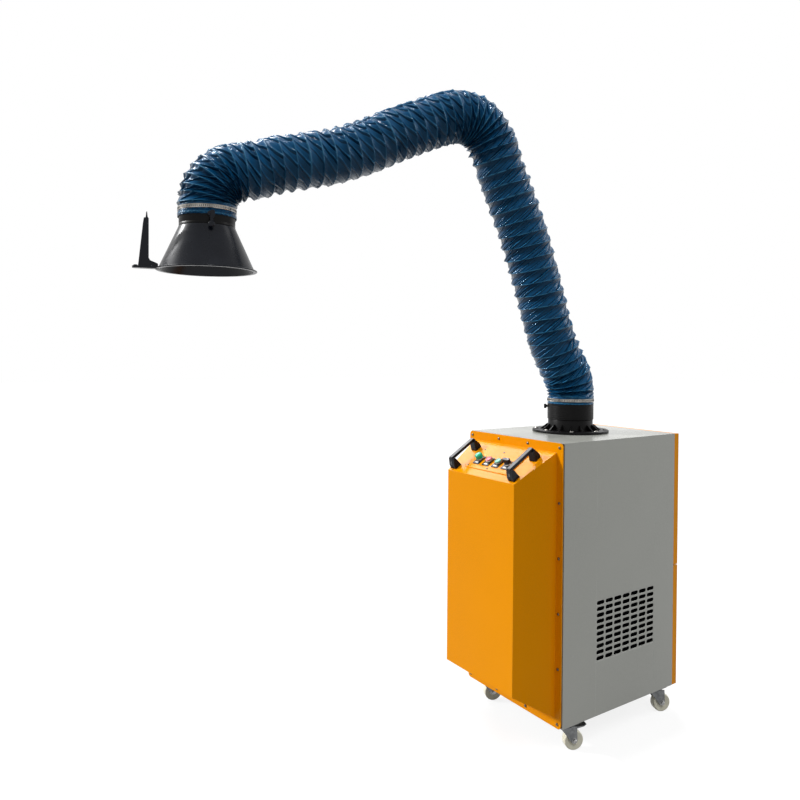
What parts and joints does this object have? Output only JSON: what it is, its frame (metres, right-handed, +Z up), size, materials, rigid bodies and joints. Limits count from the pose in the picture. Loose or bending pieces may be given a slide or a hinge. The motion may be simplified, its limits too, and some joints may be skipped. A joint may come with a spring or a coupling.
{
  "type": "mobile welding fume extractor",
  "caption": "Wheeled sheet metal cabinet with a filter and fan inside, a sloping control panel with grab handles, and a jointed arm in a ribbed hose that carries a conical extraction hood.",
  "frame": {"origin": "centre of the underside of the cabinet's base tray", "axes": "+Z up, front housing and control panel facing -Y, back doors facing +Y, grille on the +X side"},
  "size_m": [0.6325, 1.7552, 2.1219],
  "materials": {
    "orange_paint": "semi-gloss powder coat",
    "grey_paint": "satin powder coat",
    "black_plastic": "satin moulded plastic",
    "gasket_rubber": "matte foam rubber",
    "hose_fabric": "glossy coated fabric over a spiral wire",
    "zinc": "zinc plated",
    "galvanised": "galvanised sheet",
    "nylon": "cream nylon",
    "aluminium": "drawn aluminium",
    "cast_iron": "painted casting",
    "filter_media": "pleated filter fabric",
    "green_lens": "clear green lens",
    "red_plastic": "glossy",
    "green_plastic": "glossy"
  },
  "bodies": {
    "cabinet": {"base_tray": "grey_paint", "left_side_panel": "grey_paint", "right_side_panel": "grey_paint", "top_panel": "grey_paint", "front_gasket": "gasket_rubber", "front_housing": "orange_paint", "control_plate": "orange_paint", "signal_lamp": "green_lens", "control_box": "galvanised", "left_handle": "black_plastic", "right_handle": "black_plastic", "rear_frame": "grey_paint", "door_hinge": "zinc", "bulkhead": "galvanised", "middle_shelf": "galvanised", "filter_cartridge": "filter_media", "dust_drawer": "galvanised", "spark_baffle": "galvanised", "fan_casing": "galvanised", "fan_motor": "cast_iron", "cable_gland": "black_plastic", "collar_base": "black_plastic", "front_left_caster_plate": "zinc", "front_right_caster_plate": "zinc", "rear_left_caster_plate": "zinc", "rear_right_caster_plate": "zinc"},
    "fan_wheel": {"fan_impeller": "aluminium"},
    "stop_push": {"stop_button": "red_plastic"},
    "start_push": {"start_button": "green_plastic"},
    "selector": {"selector_switch": "black_plastic"},
    "door_upper": {"upper_door": "orange_paint"},
    "door_lower": {"lower_door": "orange_paint"},
    "latch_upper": {"upper_latch": "black_plastic"},
    "latch_lower": {"lower_latch": "black_plastic"},
    "fork_front_left": {"front_left_caster_fork": "zinc"},
    "fork_front_right": {"front_right_caster_fork": "zinc"},
    "fork_rear_left": {"rear_left_caster_fork": "zinc"},
    "fork_rear_right": {"rear_right_caster_fork": "zinc"},
    "wheel_front_left": {"front_left_caster_wheel": "nylon"},
    "wheel_front_right": {"front_right_caster_wheel": "nylon"},
    "wheel_rear_left": {"rear_left_caster_wheel": "nylon"},
    "wheel_rear_right": {"rear_right_caster_wheel": "nylon"},
    "pedal_front_left": {"front_left_caster_pedal": "zinc"},
    "pedal_front_right": {"front_right_caster_pedal": "zinc"},
    "collar": {"collar_swivel": "black_plastic", "collar_clamp": "zinc", "shoulder_bracket": "galvanised", "hose_shoulder_bend": "hose_fabric"},
    "lock_knob": {"collar_lock_knob": "black_plastic"},
    "lower_arm": {"lower_arm_link": "aluminium", "hose_lower_run": "hose_fabric", "hose_elbow_bend": "hose_fabric"},
    "upper_arm": {"upper_arm_link": "aluminium", "hose_upper_run": "hose_fabric"},
    "hood_holder": {"hood_bracket": "galvanised", "hood_neck": "black_plastic", "hood_clamp": "zinc", "hose_wrist_bend": "hose_fabric"},
    "damper_plate": {"damper": "black_plastic"},
    "hood": {"hood_cone": "black_plastic"}
  },
  "joints": [
    {"name": "fan_spin", "type": "hinge", "parent": "cabinet", "child": "fan_wheel", "pos_m": [-0.015, -0.12, 0.215], "axis": [0, 1, 0], "continuous": true},
    {"name": "stop_press", "type": "slide", "parent": "cabinet", "child": "stop_push", "axis": [0, 0.5289, -0.8487], "range_m": [0, 0.003], "stiffness_N_per_m": 400},
    {"name": "start_press", "type": "slide", "parent": "cabinet", "child": "start_push", "axis": [0, 0.5289, -0.8487], "range_m": [0, 0.003], "stiffness_N_per_m": 400},
    {"name": "selector_turn", "type": "hinge", "parent": "cabinet", "child": "selector", "pos_m": [0.069, -0.36893, 0.81823], "axis": [0, -0.5289, 0.8487], "range_deg": [0, 90]},
    {"name": "upper_door_swing", "type": "hinge", "parent": "cabinet", "child": "door_upper", "pos_m": [-0.2295, 0.279, 0.65775], "axis": [0, 0, 1], "range_deg": [0, 110]},
    {"name": "lower_door_swing", "type": "hinge", "parent": "cabinet", "child": "door_lower", "pos_m": [-0.2295, 0.279, 0.21175], "axis": [0, 0, 1], "range_deg": [0, 110]},
    {"name": "upper_latch_turn", "type": "hinge", "parent": "door_upper", "child": "latch_upper", "pos_m": [0.175, 0.29, 0.65775], "axis": [0, 1, 0], "range_deg": [0, 90]},
    {"name": "lower_latch_turn", "type": "hinge", "parent": "door_lower", "child": "latch_lower", "pos_m": [0.175, 0.29, 0.21175], "axis": [0, 1, 0], "range_deg": [0, 90]},
    {"name": "front_left_swivel", "type": "hinge", "parent": "cabinet", "child": "fork_front_left", "pos_m": [-0.193, -0.226, -0.0075], "axis": [0, 0, 1], "continuous": true},
    {"name": "front_right_swivel", "type": "hinge", "parent": "cabinet", "child": "fork_front_right", "pos_m": [0.193, -0.226, -0.0075], "axis": [0, 0, 1], "continuous": true},
    {"name": "rear_left_swivel", "type": "hinge", "parent": "cabinet", "child": "fork_rear_left", "pos_m": [-0.193, 0.218, -0.0075], "axis": [0, 0, 1], "continuous": true},
    {"name": "rear_right_swivel", "type": "hinge", "parent": "cabinet", "child": "fork_rear_right", "pos_m": [0.193, 0.218, -0.0075], "axis": [0, 0, 1], "continuous": true},
    {"name": "front_left_roll", "type": "hinge", "parent": "fork_front_left", "child": "wheel_front_left", "pos_m": [-0.18401, -0.20375, -0.0575], "axis": [0.9272, -0.3746, 0], "continuous": true},
    {"name": "front_right_roll", "type": "hinge", "parent": "fork_front_right", "child": "wheel_front_right", "pos_m": [0.20199, -0.20375, -0.0575], "axis": [0.9272, -0.3746, 0], "continuous": true},
    {"name": "rear_left_roll", "type": "hinge", "parent": "fork_rear_left", "child": "wheel_rear_left", "pos_m": [-0.18401, 0.24025, -0.0575], "axis": [0.9272, -0.3746, 0], "continuous": true},
    {"name": "rear_right_roll", "type": "hinge", "parent": "fork_rear_right", "child": "wheel_rear_right", "pos_m": [0.20199, 0.24025, -0.0575], "axis": [0.9272, -0.3746, 0], "continuous": true},
    {"name": "front_left_brake", "type": "hinge", "parent": "fork_front_left", "child": "pedal_front_left", "pos_m": [-0.18251, -0.20004, -0.0196], "axis": [-0.9272, 0.3746, 0], "range_deg": [0, 8]},
    {"name": "front_right_brake", "type": "hinge", "parent": "fork_front_right", "child": "pedal_front_right", "pos_m": [0.20349, -0.20004, -0.0196], "axis": [-0.9272, 0.3746, 0], "range_deg": [0, 8]},
    {"name": "arm_swivel", "type": "hinge", "parent": "cabinet", "child": "collar", "pos_m": [-0.02, 0.012, 0.935], "axis": [0, 0, 1], "continuous": true},
    {"name": "collar_lock", "type": "hinge", "parent": "collar", "child": "lock_knob", "pos_m": [-0.08138, -0.05382, 0.98], "axis": [-0.682, -0.7314, 0], "continuous": true},
    {"name": "shoulder", "type": "hinge", "parent": "collar", "child": "lower_arm", "pos_m": [-0.02, 0.012, 1.04], "axis": [0.9816, -0.1908, 0], "range_deg": [-20, 35], "deforming": ["hose_shoulder_bend"]},
    {"name": "elbow", "type": "hinge", "parent": "lower_arm", "child": "upper_arm", "pos_m": [-0.09486, -0.37313, 1.93803], "axis": [0.9816, -0.1908, 0], "range_deg": [-60, 25], "deforming": ["hose_elbow_bend"]},
    {"name": "hood_tilt", "type": "hinge", "parent": "upper_arm", "child": "hood_holder", "pos_m": [-0.24716, -1.15665, 1.68943], "axis": [0.9816, -0.1908, 0], "range_deg": [-40, 40], "deforming": ["hose_wrist_bend"]},
    {"name": "damper_turn", "type": "hinge", "parent": "hood_holder", "child": "damper_plate", "pos_m": [-0.26262, -1.23616, 1.54943], "axis": [0.9816, -0.1908, 0], "range_deg": [0, 90]},
    {"name": "hood_swivel", "type": "hinge", "parent": "hood_holder", "child": "hood", "pos_m": [-0.26262, -1.23616, 1.52443], "axis": [0, 0, 1], "continuous": true}
  ]
}
